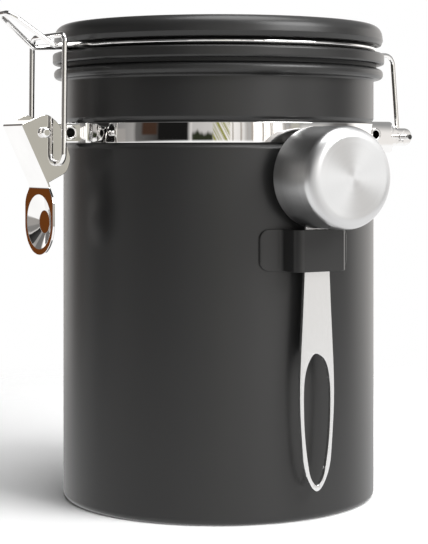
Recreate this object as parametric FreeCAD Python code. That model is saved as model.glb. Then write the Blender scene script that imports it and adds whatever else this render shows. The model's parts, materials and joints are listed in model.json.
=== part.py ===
import FreeCAD, Part
import math
import os

os.makedirs("parts", exist_ok=True)

# Coffee canister with a hinged lid, a wire clasp, a date dial, a one-way valve and a scoop.
# Millimetres. Origin at the centre of the resting face, +Z up, clasp at -X, hinge at +X, scoop at -Y.

half = 0.5
quarter_turn_deg = 90.0
full_turn_deg = 360.0
join_tol = 0.001

# Canister
body_r = 60.0
body_wall = 0.8
base_edge_r = 2.2
base_bead_setback = 10.0
base_bead_w = 6.0
base_bead_h = 1.2
base_bead_slope = 1.5
rim_z = 163.6
bead_w = 3.6
bead_h = 4.0
bead_edge_r = 1.8
bead_root_r = 1.0
rim_inner_edge_r = 0.35

# Neck band and its groove
neck_h = 21.0
band_h = 7.4
band_t = 0.9
groove_depth = 1.1
groove_slack = 0.25
groove_slope = 1.6
groove_edge_r = 1.2

# Clasp ears and eyelets
clasp_reach = 18.7
ear_play = 0.9
clasp_ear_bend = 2.6
clasp_eyelet_setback = 11.2
eyelet_bore_r = 1.75
eyelet_wall = 0.4
eyelet_flare = 0.5
eyelet_spacer_wall = 0.7
eyelet_head_t = 0.45

# Lever, with its corners given outwards, inwards, up and down from the pivot
lever_half_w = 8.0
lever_t = 0.8
lever_top_out = 9.1
lever_top_rise = 2.8
lever_low_in = 1.65
lever_low_drop = 19.4
lever_crown_in = 0.9
lever_crown_rise = 7.0
lever_back_in = 6.3
lever_back_rise = 3.0
lever_lobe_in = 10.7
lever_lobe_drop = 9.3
lever_heel_in = 9.1
lever_heel_drop = 14.3
lever_crown_round = 4.0
lever_back_round = 8.0
lever_lobe_round = 6.0
lever_heel_round = 5.0
lever_edge_round = 0.6
lever_lip = 3.6
lever_bend = 4.4
tab_r = 12.1
tab_half_w = 11.6
tab_neck = 0.9
tab_shoulder_drop = 0.5
tab_side_rise = 8.2
tab_side_round = 7.0
tab_rim_w = 2.2
dish_floor_r = 4.25
dish_depth = 2.3
pin_r = 1.5
pin_head_w = 0.4
pin_head_t = 2.2
pin_head_round = 0.8
cheek_gap = 0.2
pin_gap = 0.06

# Bail
wire_r = 1.0
wire_gap = 0.06
bail_side = 5.5
bail_pivot_in = 5.0
bail_pivot_drop = 11.0
bail_lean = 0.5
bail_bar_rise = 3.8
bail_low_bend = 3.6
bail_top_bend = 3.0
bail_tail = 0.3

# Hinge ears
hinge_reach = 20.3
hinge_drop = 0.9
hinge_ear_s = 12.5
hinge_ear_bend = 3.2
hinge_tab_h = 7.2
hinge_tab_over = 5.3
hinge_root_setback = 4.7
hinge_root_l = 12.2
hinge_root_under = 3.6
hinge_root_over = 1.6
hinge_root_round = 1.4
hinge_eyelet_setback = 13.5

# Lid
lid_sheet = 1.0
lid_flange_over = 4.1
lid_flange_h = 4.3
lid_groove_depth = 5.1
lid_groove_h = 3.4
lid_hem_w = 2.3
cap_side_inset = 0.5
cap_side_drop = 6.4
cap_lip_inset = 1.2
cap_lip_drop = 0.3
cap_h = 8.3
cap_shoulder_inset = 1.2
cap_shoulder_drop = 0.8
cap_shoulder_round = 4.6
cap_slope_share = 0.49
cap_crown_round = 40.0
cap_plateau_drop = 2.8
cap_plateau_slope = 4.5
cap_hole_gap = 0.4
gasket_inset = 3.0
gasket_w = 5.5
gasket_t = 1.6
gasket_gap = 0.1
gasket_edge_r = 0.5
liner_inset = 6.7
liner_wall = 1.8
liner_drop = 6.1
liner_floor_t = 1.6
liner_edge_r = 1.4
liner_lap = 1.0
hub_wall = 2.0

# Lid wire, with the lift loop's bends given from one to the next
ring_rise = 1.6
ring_bend = 3.0
loop_inset = 5.0
loop_crook_over = 2.0
loop_crook_dip = 0.9
loop_crook_bend = 3.0
loop_rise_out = 12.4
loop_rise_up = 9.1
loop_rise_taper = 3.3
loop_nose_out = 3.4
loop_nose_up = 2.2
loop_nose_taper = 1.6
loop_side_bend = 4.0
loop_nose_bend = 2.6
leg_play = 0.6
leg_lean = 2.8
leg_top_bend = 4.2
leg_low_bend = 1.9
leg_tail = 5.5

# Date dial, outwards from the valve cap
month_track_w = 5.05
month_ring_w = 4.15
dial_rib_w = 0.6
day_ring_w = 4.35
day_track_w = 5.65
dial_rim_w = 1.2
dial_margin = 2.0
dial_t = 1.4
dial_rim_h = 0.9
dial_channel_depth = 0.8
dial_gap = 0.35
dial_ring_t = 1.3
dial_pointer_l = 2.0
dial_pointer_half_w = 1.6
dial_nub_r = 0.9
dial_nub_h = 0.5
dial_nubs = 3

# Valve
valve_seat_rise = 8.8
valve_seat_t = 1.5
valve_stem_r = 1.6
valve_port_r = 1.3
valve_port_ring_r = 5.5
valve_ports = 6
valve_disc_r = 9.0
valve_disc_t = 0.8
valve_lift = 0.8
valve_disc_gap = 0.05
valve_bore_gap = 0.4
valve_cap_r = 12.6
valve_cap_lip = 2.0
valve_cap_t = 1.2
valve_cap_rise = 2.4
valve_hub_gap = 2.4
valve_vent_r = 0.8
valve_vent_ring_r = 6.4
valve_vents = 8
filter_t = 0.6
filter_ledge_t = 1.0

# Liner screws
screws = 3
screw_out = 10.0
screw_r = 1.5
screw_head_r = 2.9
screw_head_t = 1.7
screw_boss_wall = 0.7
screw_socket_r = 1.2
screw_socket_depth = 0.9
screw_socket_sides = 6

# Scoop
scoop_clear = 0.5
scoop_gap = 0.4
scoop_r = 18.0
scoop_wall = 0.9
scoop_depth = 23.0
scoop_edge_r = 4.4
scoop_lip_r = 0.35
handle_t = 1.5
handle_l = 111.3
handle_half_w = 7.3
handle_limb_w = 1.55
handle_tip_w = 2.1
slot_l = 46.6
# (width share, height share) down the right edge of the handle and of its slot
handle_shares = ((0.712, 1.0), (0.735, 0.704), (0.901, 0.488), (1.0, 0.281), (0.862, 0.137), (0.519, 0.037))
slot_shares = ((0.548, 0.954), (0.854, 0.863), (1.0, 0.65), (0.858, 0.316), (0.628, 0.134), (0.3, 0.027))

# Scoop bracket
bracket_low_z = 89.7
bracket_h = 14.9
bracket_t = 1.0
bracket_side = 3.6
bracket_play = 2.8
bracket_bend = 2.8
bracket_flange_w = 8.1
bracket_corner_r = 3.6
bracket_foot_bend = 1.7

# Radii and heights that the pieces share
inner_r = body_r - body_wall
bead_r = body_r + bead_w
groove_floor_r = body_r - groove_depth
band_top_z = rim_z - neck_h
band_low_z = band_top_z - band_h
band_mid_z = band_low_z + band_h * half
clasp_pivot_r = body_r + clasp_reach
clasp_pivot_z = band_mid_z
clasp_ear_s = lever_half_w - lever_t - ear_play
clasp_eyelet_r = clasp_pivot_r - clasp_eyelet_setback
eyelet_tube_r = eyelet_bore_r + eyelet_wall
eyelet_spacer_r = eyelet_tube_r + eyelet_spacer_wall
eyelet_head_r = eyelet_tube_r + eyelet_flare
lever_top_r = clasp_pivot_r + lever_top_out
lever_top_z = clasp_pivot_z + lever_top_rise
lever_low_r = clasp_pivot_r - lever_low_in
lever_low_z = clasp_pivot_z - lever_low_drop
lever_crown_r = clasp_pivot_r - lever_crown_in
lever_crown_z = clasp_pivot_z + lever_crown_rise
lever_back_r = clasp_pivot_r - lever_back_in
lever_back_z = clasp_pivot_z + lever_back_rise
lever_lobe_r = clasp_pivot_r - lever_lobe_in
lever_lobe_z = clasp_pivot_z - lever_lobe_drop
lever_heel_r = clasp_pivot_r - lever_heel_in
lever_heel_z = clasp_pivot_z - lever_heel_drop
tab_z = lever_low_z - tab_r - tab_neck
tab_shoulder_z = lever_low_z - tab_shoulder_drop
dish_r = tab_r - tab_rim_w
pin_head_r = pin_r + pin_head_w
hinge_r = body_r + hinge_reach
hinge_z = band_mid_z - hinge_drop
hinge_tab_end_r = hinge_r + hinge_tab_over
hinge_root_end_r = hinge_r - hinge_root_setback
hinge_root_start_r = hinge_root_end_r - hinge_root_l
hinge_root_low_z = band_low_z - hinge_root_under
hinge_root_top_z = band_top_z + hinge_root_over
hinge_eyelet_r = hinge_r - hinge_eyelet_setback
lid_flange_r = body_r + lid_flange_over
lid_flange_low_z = rim_z + gasket_gap + gasket_t
lid_flange_top_z = lid_flange_low_z + lid_flange_h
lid_groove_r = lid_flange_r - lid_groove_depth
lid_hem_r = lid_groove_r + lid_hem_w
lid_hem_low_z = lid_flange_top_z + lid_groove_h
lid_hem_top_z = lid_hem_low_z + lid_sheet
cap_lip_z = lid_hem_low_z - cap_lip_drop
cap_top_z = cap_lip_z + cap_h
cap_plateau_z = cap_top_z - cap_plateau_drop
cap_under_z = cap_plateau_z - lid_sheet
gasket_outer_r = lid_flange_r - gasket_inset
gasket_inner_r = gasket_outer_r - gasket_w
liner_r = inner_r - liner_inset
liner_low_z = lid_flange_low_z - liner_drop
ring_wire_r = lid_groove_r + wire_r + wire_gap
ring_wire_z = lid_flange_top_z + ring_rise
bail_half_w = lever_half_w + bail_side
bail_pivot_r = clasp_pivot_r - bail_pivot_in
bail_pivot_z = clasp_pivot_z - bail_pivot_drop
bail_leg_top_r = bail_pivot_r - bail_lean
bail_end_s = lever_half_w - lever_t - bail_tail
loop_half_w = bail_half_w - loop_inset
loop_crook_r = bail_leg_top_r + loop_crook_over
loop_crook_z = ring_wire_z - loop_crook_dip
loop_rise_r = loop_crook_r + loop_rise_out
loop_rise_z = loop_crook_z + loop_rise_up
loop_rise_half_w = loop_half_w - loop_rise_taper
loop_nose_r = loop_rise_r + loop_nose_out
loop_nose_z = loop_rise_z + loop_nose_up
loop_nose_half_w = loop_rise_half_w - loop_nose_taper
bail_bar_z = loop_crook_z + bail_bar_rise
leg_half_w = hinge_ear_s - band_t - wire_r - leg_play
leg_top_r = hinge_r - leg_lean
leg_end_s = hinge_ear_s + leg_tail
valve_cap_lip_r = valve_cap_r + valve_cap_lip
valve_cap_top_z = cap_plateau_z + valve_cap_rise
hub_bore_r = valve_cap_r + valve_hub_gap
hub_r = hub_bore_r + hub_wall
cap_hole_r = valve_cap_r + cap_hole_gap
channel_inner_r = valve_cap_lip_r + month_track_w
month_ring_inner_r = channel_inner_r + dial_gap
month_ring_outer_r = month_ring_inner_r + month_ring_w
rib_inner_r = month_ring_outer_r + dial_gap
rib_outer_r = rib_inner_r + dial_rib_w
day_ring_inner_r = rib_outer_r + dial_gap
day_ring_outer_r = day_ring_inner_r + day_ring_w
channel_outer_r = day_ring_outer_r + dial_gap
dial_r = channel_outer_r + day_track_w + dial_rim_w
dial_top_z = cap_plateau_z + dial_t
channel_z = dial_top_z - dial_channel_depth
cap_plateau_r = dial_r + dial_margin
cap_ridge_r = cap_plateau_r + cap_plateau_slope
valve_seat_z = liner_low_z + valve_seat_rise
screw_ring_r = hub_r + screw_out
screw_boss_r = screw_head_r + screw_boss_wall
scoop_mouth_d = lid_flange_r + scoop_clear
bracket_d = scoop_mouth_d + handle_t + bracket_play + bracket_t
bracket_half_w = handle_half_w + bracket_side
bracket_flange_s = bracket_half_w + bracket_flange_w
bracket_top_z = bracket_low_z + bracket_h
scoop_z = bracket_top_z + scoop_gap + scoop_r

up = FreeCAD.Vector(0, 0, 1)
x_axis = FreeCAD.Vector(1, 0, 0)
y_axis = FreeCAD.Vector(0, 1, 0)
front_dir = FreeCAD.Vector(0, -1, 0)
origin = FreeCAD.Vector(0, 0, 0)


def vec(x, y, z):
    return FreeCAD.Vector(x, y, z)


def corner(before, at, after, radius):
    # Start, middle and end of the arc that rounds one corner of a run of straight lines.
    a = before.sub(at).normalize()
    b = after.sub(at).normalize()
    angle = a.getAngle(b)
    reach = radius / math.tan(angle * half)
    start = at.add(vec(*a).multiply(reach))
    end = at.add(vec(*b).multiply(reach))
    middle_dir = a.add(b).normalize()
    middle = at.add(middle_dir.multiply(radius / math.sin(angle * half) - radius))
    return start, middle, end


def rounded_run(points, closed):
    # Edges through (point, corner radius) pairs, with an arc at each corner that has a radius.
    count = len(points)
    stops = []
    for i in range(count):
        at, radius = points[i]
        inner = closed or 0 < i < count - 1
        if radius and inner:
            stops.append(corner(points[i - 1][0], at, points[(i + 1) % count][0], radius))
        else:
            stops.append((at, None, at))
    edges = []
    for i in range(count):
        start, middle, end = stops[i]
        if middle is not None:
            edges.append(Part.Arc(start, middle, end).toShape())
        if i < count - 1 or closed:
            following = stops[(i + 1) % count][0]
            if end.distanceToPoint(following) > Part.Precision.confusion():
                edges.append(Part.makeLine(end, following))
    return edges


def face_of(points):
    return Part.Face(Part.Wire(rounded_run(points, True)))


def turned(profile):
    # Revolves (radius, height, corner radius) points round the canister's axis.
    points = [(vec(r, 0, z), c) for r, z, c in profile]
    return face_of(points).revolve(origin, up, full_turn_deg)


def side_plate(profile, width):
    # Plate drawn in the X-Z plane and spread evenly to both sides of it.
    points = [(vec(x, -width * half, z), c) for x, z, c in profile]
    return face_of(points).extrude(vec(0, width, 0))


def rod_y(x, z, radius, y0, y1):
    return Part.makeCylinder(radius, y1 - y0, vec(x, y0, z), y_axis)


def tube(radius, bore, height, base):
    outer = Part.makeCylinder(radius, height, base, up)
    return outer.cut(Part.makeCylinder(bore, height, base, up))


def swept_wire(edges, radius):
    # Round wire along straight lines and arcs: a rod for each line, a piece of a torus for each arc.
    pieces = []
    for edge in edges:
        start = edge.valueAt(edge.FirstParameter)
        heading = edge.tangentAt(edge.FirstParameter)
        section = Part.Face(Part.Wire(Part.makeCircle(radius, start, heading)))
        if isinstance(edge.Curve, Part.Circle):
            turn_deg = math.degrees(edge.LastParameter - edge.FirstParameter)
            pieces.append(section.revolve(edge.Curve.Center, edge.Curve.Axis, turn_deg))
        else:
            pieces.append(section.extrude(vec(*heading).multiply(edge.Length)))
    return pieces[0].fuse(pieces[1:], join_tol)


def ring_join(mid_r, s, bend):
    # Centre of the bend that leads from a straight run at sideways distance s into a ring.
    cy = s + bend
    cx = math.sqrt((mid_r + bend) ** 2 - cy ** 2)
    return cx, cy


def on_join(mid_r, bend, cx, cy, offset):
    share = (mid_r + offset) / (mid_r + bend)
    return cx * share, cy * share


def halfway(centre, a, b, radius):
    middle = a.add(b).multiply(half).sub(centre).normalize()
    return centre.add(middle.multiply(radius))


def ring_path(mid_r, offset, clasp, hinge, z):
    # Front half of a ring with its two outward bends: clasp end first, hinge end last.
    s1, bend1 = clasp
    s2, bend2 = hinge
    cx1, cy1 = ring_join(mid_r, s1, bend1)
    cx2, cy2 = ring_join(mid_r, s2, bend2)
    tx1, ty1 = on_join(mid_r, bend1, cx1, cy1, offset)
    tx2, ty2 = on_join(mid_r, bend2, cx2, cy2, offset)
    a = vec(-cx1, -(s1 + offset), z)
    b = vec(-tx1, -ty1, z)
    c = vec(tx2, -ty2, z)
    d = vec(cx2, -(s2 + offset), z)
    arc1 = Part.Arc(a, halfway(vec(-cx1, -cy1, z), a, b, bend1 - offset), b)
    arc2 = Part.Arc(b, vec(0, -(mid_r + offset), z), c)
    arc3 = Part.Arc(c, halfway(vec(cx2, -cy2, z), c, d, bend2 - offset), d)
    return a, [arc1.toShape(), arc2.toShape(), arc3.toShape()], d


def mirrored(shape):
    return shape.mirror(origin, y_axis)


def write(name, shape):
    shape.exportStep("parts/" + name + ".step")


# Canister body
groove_low_z = band_low_z - groove_slack
groove_top_z = band_top_z + groove_slack
bead_low_z = rim_z - bead_h
base_stand_r = body_r - base_bead_setback
base_panel_r = base_stand_r - base_bead_w
groove_inner_r = groove_floor_r - body_wall
canister_body = turned([
    (0, 0, 0),
    (base_panel_r, 0, 0),
    (base_panel_r + base_bead_slope, base_bead_h, 0),
    (base_stand_r - base_bead_slope, base_bead_h, 0),
    (base_stand_r, 0, 0),
    (body_r, 0, base_edge_r),
    (body_r, groove_low_z - groove_slope, groove_edge_r),
    (groove_floor_r, groove_low_z, 0),
    (groove_floor_r, groove_top_z, 0),
    (body_r, groove_top_z + groove_slope, groove_edge_r),
    (body_r, bead_low_z, bead_root_r),
    (bead_r, bead_low_z, bead_edge_r),
    (bead_r, rim_z, bead_edge_r),
    (inner_r, rim_z, rim_inner_edge_r),
    (inner_r, groove_top_z + groove_slope, groove_edge_r),
    (groove_inner_r, groove_top_z, 0),
    (groove_inner_r, groove_low_z, 0),
    (inner_r, groove_low_z - groove_slope, groove_edge_r),
    (inner_r, body_wall, base_edge_r - body_wall),
    (base_stand_r, body_wall, 0),
    (base_stand_r - base_bead_slope, base_bead_h + body_wall, 0),
    (base_panel_r + base_bead_slope, base_bead_h + body_wall, 0),
    (base_panel_r, body_wall, 0),
    (0, body_wall, 0),
])
write("canister_body", canister_body)

# Neck band halves with clasp ears and hinge ears
band_mid_r = groove_floor_r + band_t * half
clasp_ear_mid = clasp_ear_s - band_t * half
hinge_ear_mid = hinge_ear_s - band_t * half
clasp_turn = (clasp_ear_mid, clasp_ear_bend)
hinge_turn = (hinge_ear_mid, hinge_ear_bend)
clasp_ear_out = clasp_pivot_r + band_h * half
strip_h = hinge_root_top_z - hinge_root_low_z
out_a, out_edges, out_d = ring_path(band_mid_r, band_t * half, clasp_turn, hinge_turn, hinge_root_low_z)
in_a, in_edges, in_d = ring_path(band_mid_r, -band_t * half, clasp_turn, hinge_turn, hinge_root_low_z)
out_start = vec(-clasp_ear_out, out_a.y, hinge_root_low_z)
in_start = vec(-clasp_ear_out, in_a.y, hinge_root_low_z)
out_end = vec(hinge_tab_end_r, out_d.y, hinge_root_low_z)
in_end = vec(hinge_tab_end_r, in_d.y, hinge_root_low_z)
strip_edges = [Part.makeLine(out_start, out_a)] + out_edges + [Part.makeLine(out_d, out_end)]
strip_edges += [Part.makeLine(out_end, in_end), Part.makeLine(in_end, in_d)] + in_edges[::-1]
strip_edges += [Part.makeLine(in_a, in_start), Part.makeLine(in_start, out_start)]
strip_wire = Part.Wire(Part.__sortEdges__(strip_edges))
strip = Part.Face(strip_wire).extrude(vec(0, 0, strip_h))
hinge_tab_low_z = hinge_z - hinge_tab_h * half
hinge_tab_top_z = hinge_z + hinge_tab_h * half
ear_outline = side_plate([
    (-clasp_ear_out, band_low_z, band_h * half - wire_gap),
    (hinge_root_start_r, band_low_z, hinge_root_round),
    (hinge_root_start_r, hinge_root_low_z, hinge_root_round),
    (hinge_root_end_r, hinge_root_low_z, hinge_root_round),
    (hinge_root_end_r, hinge_tab_low_z, hinge_root_round),
    (hinge_tab_end_r, hinge_tab_low_z, hinge_tab_h * half - wire_gap),
    (hinge_tab_end_r, hinge_tab_top_z, hinge_tab_h * half - wire_gap),
    (hinge_root_end_r, hinge_tab_top_z, hinge_root_round),
    (hinge_root_end_r, hinge_root_top_z, hinge_root_round),
    (hinge_root_start_r, hinge_root_top_z, hinge_root_round),
    (hinge_root_start_r, band_top_z, hinge_root_round),
    (-clasp_ear_out, band_top_z, band_h * half - wire_gap),
], 2 * bead_r)
neck_band_front = strip.common(ear_outline)
band_holes = [
    rod_y(-clasp_pivot_r, clasp_pivot_z, pin_r, -body_r, 0),
    rod_y(-clasp_eyelet_r, clasp_pivot_z, eyelet_tube_r, -body_r, 0),
    rod_y(hinge_eyelet_r, band_mid_z, eyelet_tube_r, -body_r, 0),
    rod_y(hinge_r, hinge_z, wire_r + wire_gap, -body_r, 0),
]
for hole in band_holes:
    neck_band_front = neck_band_front.cut(hole)
write("neck_band_front", neck_band_front)
write("neck_band_rear", mirrored(neck_band_front))


def eyelet(x, z, ear_s):
    # Tubular rivet: a spacer between the ears, a tube through them and a flared head outside each.
    ear_in = ear_s - band_t
    head_s = ear_s + eyelet_head_t
    body = rod_y(x, z, eyelet_spacer_r, -ear_in, ear_in)
    body = body.fuse(rod_y(x, z, eyelet_tube_r, -head_s, head_s))
    for s0 in (-head_s, ear_s):
        head = rod_y(x, z, eyelet_head_r, s0, s0 + eyelet_head_t)
        body = body.fuse(head)
    body = body.removeSplitter()
    return body.cut(rod_y(x, z, eyelet_bore_r, -head_s, head_s))


write("clasp_eyelet", eyelet(-clasp_eyelet_r, clasp_pivot_z, clasp_ear_s))
write("hinge_eyelet", eyelet(hinge_eyelet_r, band_mid_z, hinge_ear_s))

# Clasp pivot pin
pin_shank_s = lever_half_w + cheek_gap
pin_out_s = pin_shank_s + pin_head_t
clasp_pivot_pin = rod_y(-clasp_pivot_r, clasp_pivot_z, pin_r, -pin_shank_s, pin_shank_s)
for s0 in (-pin_out_s, pin_shank_s):
    head = rod_y(-clasp_pivot_r, clasp_pivot_z, pin_head_r, s0, s0 + pin_head_t)
    tip_y = s0 if s0 < 0 else s0 + pin_head_t
    tip_edges = [e for e in head.Edges if e.Closed and abs(e.CenterOfMass.y - tip_y) < cheek_gap]
    clasp_pivot_pin = clasp_pivot_pin.fuse(head.makeFillet(pin_head_round, tip_edges))
write("clasp_pivot_pin", clasp_pivot_pin.removeSplitter())

# Clasp lever: a channel with two cheeks and a bent thumb tab with a conical dish
web_dir = vec(lever_low_r - lever_top_r, 0, lever_low_z - lever_top_z).normalize()
web_in_x = web_dir.z
web_in_z = -web_dir.x
bend_reach = (lever_bend + lever_t) * math.tan(web_dir.getAngle(up.negative()) * half)
cheek_end = vec(-lever_low_r, 0, lever_low_z).sub(vec(-web_dir.x, 0, web_dir.z).multiply(bend_reach))
lever_block = side_plate([
    (-lever_top_r, lever_top_z, lever_edge_round),
    (-lever_crown_r, lever_crown_z, lever_crown_round),
    (-lever_back_r, lever_back_z, lever_back_round),
    (-lever_lobe_r, lever_lobe_z, lever_lobe_round),
    (-lever_heel_r, lever_heel_z, lever_heel_round),
    (cheek_end.x, cheek_end.z, 0),
], 2 * lever_half_w)
lip_dir = vec(lever_top_r - lever_crown_r, 0, lever_crown_z - lever_top_z).normalize()
inner_top = vec(-lever_top_r, 0, lever_top_z).add(vec(-web_in_x, 0, web_in_z).multiply(lever_t))
inner_top = inner_top.add(vec(-web_dir.x, 0, web_dir.z).multiply(lever_t))
inner_lip = inner_top.add(vec(*lip_dir).multiply(lever_lip))
inner_low = inner_top.add(vec(-web_dir.x, 0, web_dir.z).multiply(2 * tab_r + lever_bend))
lip_out = inner_lip.add(vec(-lip_dir.z, 0, lip_dir.x).multiply(2 * lever_crown_round))
lever_room = side_plate([
    (inner_top.x, inner_top.z, lever_t),
    (inner_lip.x, inner_lip.z, 0),
    (lip_out.x, lip_out.z, 0),
    (-body_r, lip_out.z, 0),
    (-body_r, inner_low.z, 0),
    (inner_low.x, inner_low.z, 0),
], 2 * (lever_half_w - lever_t))
lever_channel = lever_block.cut(lever_room)
web_top = vec(-lever_top_r, 0, lever_top_z).add(vec(-web_dir.x, 0, web_dir.z).multiply(lever_bend))
tab_low_z = tab_z - tab_r
tab_strip = side_plate([
    (web_top.x, web_top.z, 0),
    (-lever_low_r, lever_low_z, lever_bend + lever_t),
    (-lever_low_r, tab_low_z, 0),
    (-lever_low_r + lever_t, tab_low_z, 0),
    (-lever_low_r + lever_t, lever_low_z, lever_bend),
    (web_top.x - web_in_x * lever_t, web_top.z + web_in_z * lever_t, 0),
], 2 * tab_r)
tab_x = -lever_top_r - lever_bend
tab_side_z = tab_z + tab_side_rise
tab_face = face_of([
    (vec(tab_x, -lever_half_w, lever_crown_z), 0),
    (vec(tab_x, -lever_half_w, tab_shoulder_z), 0),
    (vec(tab_x, -tab_half_w, tab_side_z), tab_side_round),
    (vec(tab_x, -tab_half_w, tab_low_z), tab_half_w - wire_gap),
    (vec(tab_x, tab_half_w, tab_low_z), tab_half_w - wire_gap),
    (vec(tab_x, tab_half_w, tab_side_z), tab_side_round),
    (vec(tab_x, lever_half_w, tab_shoulder_z), 0),
    (vec(tab_x, lever_half_w, lever_crown_z), 0),
])
tab_block = tab_face.extrude(vec(lever_top_r + lever_bend - body_r, 0, 0))
tab_strip = tab_strip.common(tab_block)
tab_strip = tab_strip.cut(Part.makeCylinder(dish_r, body_r, vec(-lever_low_r - lever_t, 0, tab_z), x_axis))
dish_points = [
    (0, dish_depth), (dish_floor_r, dish_depth), (dish_r, 0),
    (dish_r, lever_t), (dish_floor_r, dish_depth + lever_t), (0, dish_depth + lever_t),
]
dish_face = face_of([(vec(-lever_low_r + depth, 0, tab_z + r), 0) for r, depth in dish_points])
dish = dish_face.revolve(vec(-lever_low_r, 0, tab_z), x_axis, full_turn_deg)
clasp_lever = lever_channel.fuse([tab_strip, dish]).removeSplitter()
lever_holes = [
    rod_y(-clasp_pivot_r, clasp_pivot_z, pin_r + pin_gap, -body_r, body_r),
    rod_y(-bail_pivot_r, bail_pivot_z, wire_r + wire_gap, -body_r, body_r),
]
for hole in lever_holes:
    clasp_lever = clasp_lever.cut(hole)
write("clasp_lever", clasp_lever)

# Clasp bail
bail_points = []
for side in (-1, 1):
    run = [
        (vec(-bail_pivot_r, side * bail_end_s, bail_pivot_z), 0),
        (vec(-bail_pivot_r, side * bail_half_w, bail_pivot_z), bail_low_bend),
        (vec(-bail_leg_top_r, side * bail_half_w, bail_bar_z), bail_top_bend),
    ]
    bail_points += run if side < 0 else run[::-1]
write("clasp_bail", swept_wire(rounded_run(bail_points, False), wire_r))

# Lid pan, cap, gasket and liner
pan_seat_z = lid_flange_low_z + lid_sheet
lid_pan_inner_r = liner_r - liner_lap
lid_pan = turned([
    (lid_pan_inner_r, lid_flange_low_z, 0),
    (lid_flange_r, lid_flange_low_z, lid_sheet),
    (lid_flange_r, lid_flange_top_z, lid_sheet),
    (lid_groove_r, lid_flange_top_z, lid_sheet),
    (lid_groove_r, lid_hem_low_z, lid_sheet),
    (lid_hem_r, lid_hem_low_z, 0),
    (lid_hem_r, lid_hem_top_z, 0),
    (lid_groove_r - lid_sheet, lid_hem_top_z, lid_sheet),
    (lid_groove_r - lid_sheet, lid_flange_top_z - lid_sheet, 0),
    (lid_flange_r - lid_sheet, lid_flange_top_z - lid_sheet, 0),
    (lid_flange_r - lid_sheet, pan_seat_z, 0),
    (lid_pan_inner_r, pan_seat_z, 0),
])
write("lid_pan", lid_pan)

cap_side_r = lid_flange_r - cap_side_inset
cap_side_z = cap_top_z - cap_side_drop
cap_lip_r = lid_flange_r - cap_lip_inset
cap_shoulder_r = lid_flange_r - cap_shoulder_inset
cap_shoulder_z = cap_top_z - cap_shoulder_drop
cap_slope_r = cap_ridge_r + cap_slope_share * (cap_shoulder_r - cap_ridge_r)
lid_cap = turned([
    (cap_hole_r, cap_plateau_z, 0),
    (cap_plateau_r, cap_plateau_z, lid_sheet),
    (cap_ridge_r, cap_top_z, lid_sheet),
    (cap_slope_r, cap_top_z, cap_crown_round),
    (cap_shoulder_r, cap_shoulder_z, cap_shoulder_round),
    (cap_side_r, cap_side_z, lid_sheet),
    (cap_lip_r, cap_lip_z, lid_sheet * half),
    (lid_hem_r, cap_lip_z, 0),
    (lid_hem_r, lid_hem_top_z, 0),
    (cap_side_r - lid_sheet, cap_side_z, 0),
    (cap_shoulder_r - lid_sheet, cap_shoulder_z - lid_sheet, cap_shoulder_round - lid_sheet),
    (cap_slope_r, cap_top_z - lid_sheet, cap_crown_round),
    (cap_ridge_r, cap_top_z - lid_sheet, 0),
    (cap_plateau_r + lid_sheet, cap_under_z, 0),
    (cap_hole_r, cap_under_z, 0),
])
write("lid_cap", lid_cap)

lid_gasket = turned([
    (gasket_inner_r, rim_z + gasket_gap, gasket_edge_r),
    (gasket_outer_r, rim_z + gasket_gap, gasket_edge_r),
    (gasket_outer_r, lid_flange_low_z, 0),
    (gasket_inner_r, lid_flange_low_z, 0),
])
write("lid_gasket", lid_gasket)

liner_floor_z = liner_low_z + liner_floor_t
lid_liner = turned([
    (hub_bore_r, liner_low_z, 0),
    (liner_r, liner_low_z, liner_edge_r),
    (liner_r, lid_flange_low_z, 0),
    (liner_r - liner_wall, lid_flange_low_z, 0),
    (liner_r - liner_wall, liner_floor_z, 0),
    (hub_r, liner_floor_z, 0),
    (hub_r, cap_under_z, 0),
    (hub_bore_r, cap_under_z, 0),
])
screw_spots = []
for i in range(screws):
    turn = math.radians(quarter_turn_deg + i * full_turn_deg / screws)
    screw_spots.append((screw_ring_r * math.cos(turn), screw_ring_r * math.sin(turn)))
screw_seat_z = liner_low_z + screw_head_t
for x, y in screw_spots:
    boss = Part.makeCylinder(screw_boss_r, cap_under_z - liner_low_z, vec(x, y, liner_low_z))
    lid_liner = lid_liner.fuse(boss)
lid_liner = lid_liner.removeSplitter()
for x, y in screw_spots:
    lid_liner = lid_liner.cut(Part.makeCylinder(screw_r, cap_under_z - liner_low_z, vec(x, y, liner_low_z)))
    lid_liner = lid_liner.cut(Part.makeCylinder(screw_head_r + wire_gap, screw_head_t, vec(x, y, liner_low_z)))
write("lid_liner", lid_liner)

for i, (x, y) in enumerate(screw_spots):
    screw = Part.makeCylinder(screw_r, cap_under_z - screw_seat_z, vec(x, y, screw_seat_z))
    screw = screw.fuse(Part.makeCylinder(screw_head_r, screw_head_t, vec(x, y, liner_low_z)))
    screw = screw.removeSplitter()
    socket = Part.makePolygon([
        vec(
            x + screw_socket_r * math.cos(math.radians(k * full_turn_deg / screw_socket_sides)),
            y + screw_socket_r * math.sin(math.radians(k * full_turn_deg / screw_socket_sides)),
            liner_low_z,
        )
        for k in range(screw_socket_sides + 1)
    ])
    screw = screw.cut(Part.Face(socket).extrude(vec(0, 0, screw_socket_depth)))
    write("liner_screw_" + str(i + 1), screw)

# Lid wire: lift loop, ring in the lid's groove and the two hinge legs, bent from one wire
clasp_run = (loop_half_w, ring_bend)
hinge_run = (leg_half_w, ring_bend)
ring_start, ring_edges, ring_end = ring_path(ring_wire_r, 0, clasp_run, hinge_run, ring_wire_z)


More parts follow.
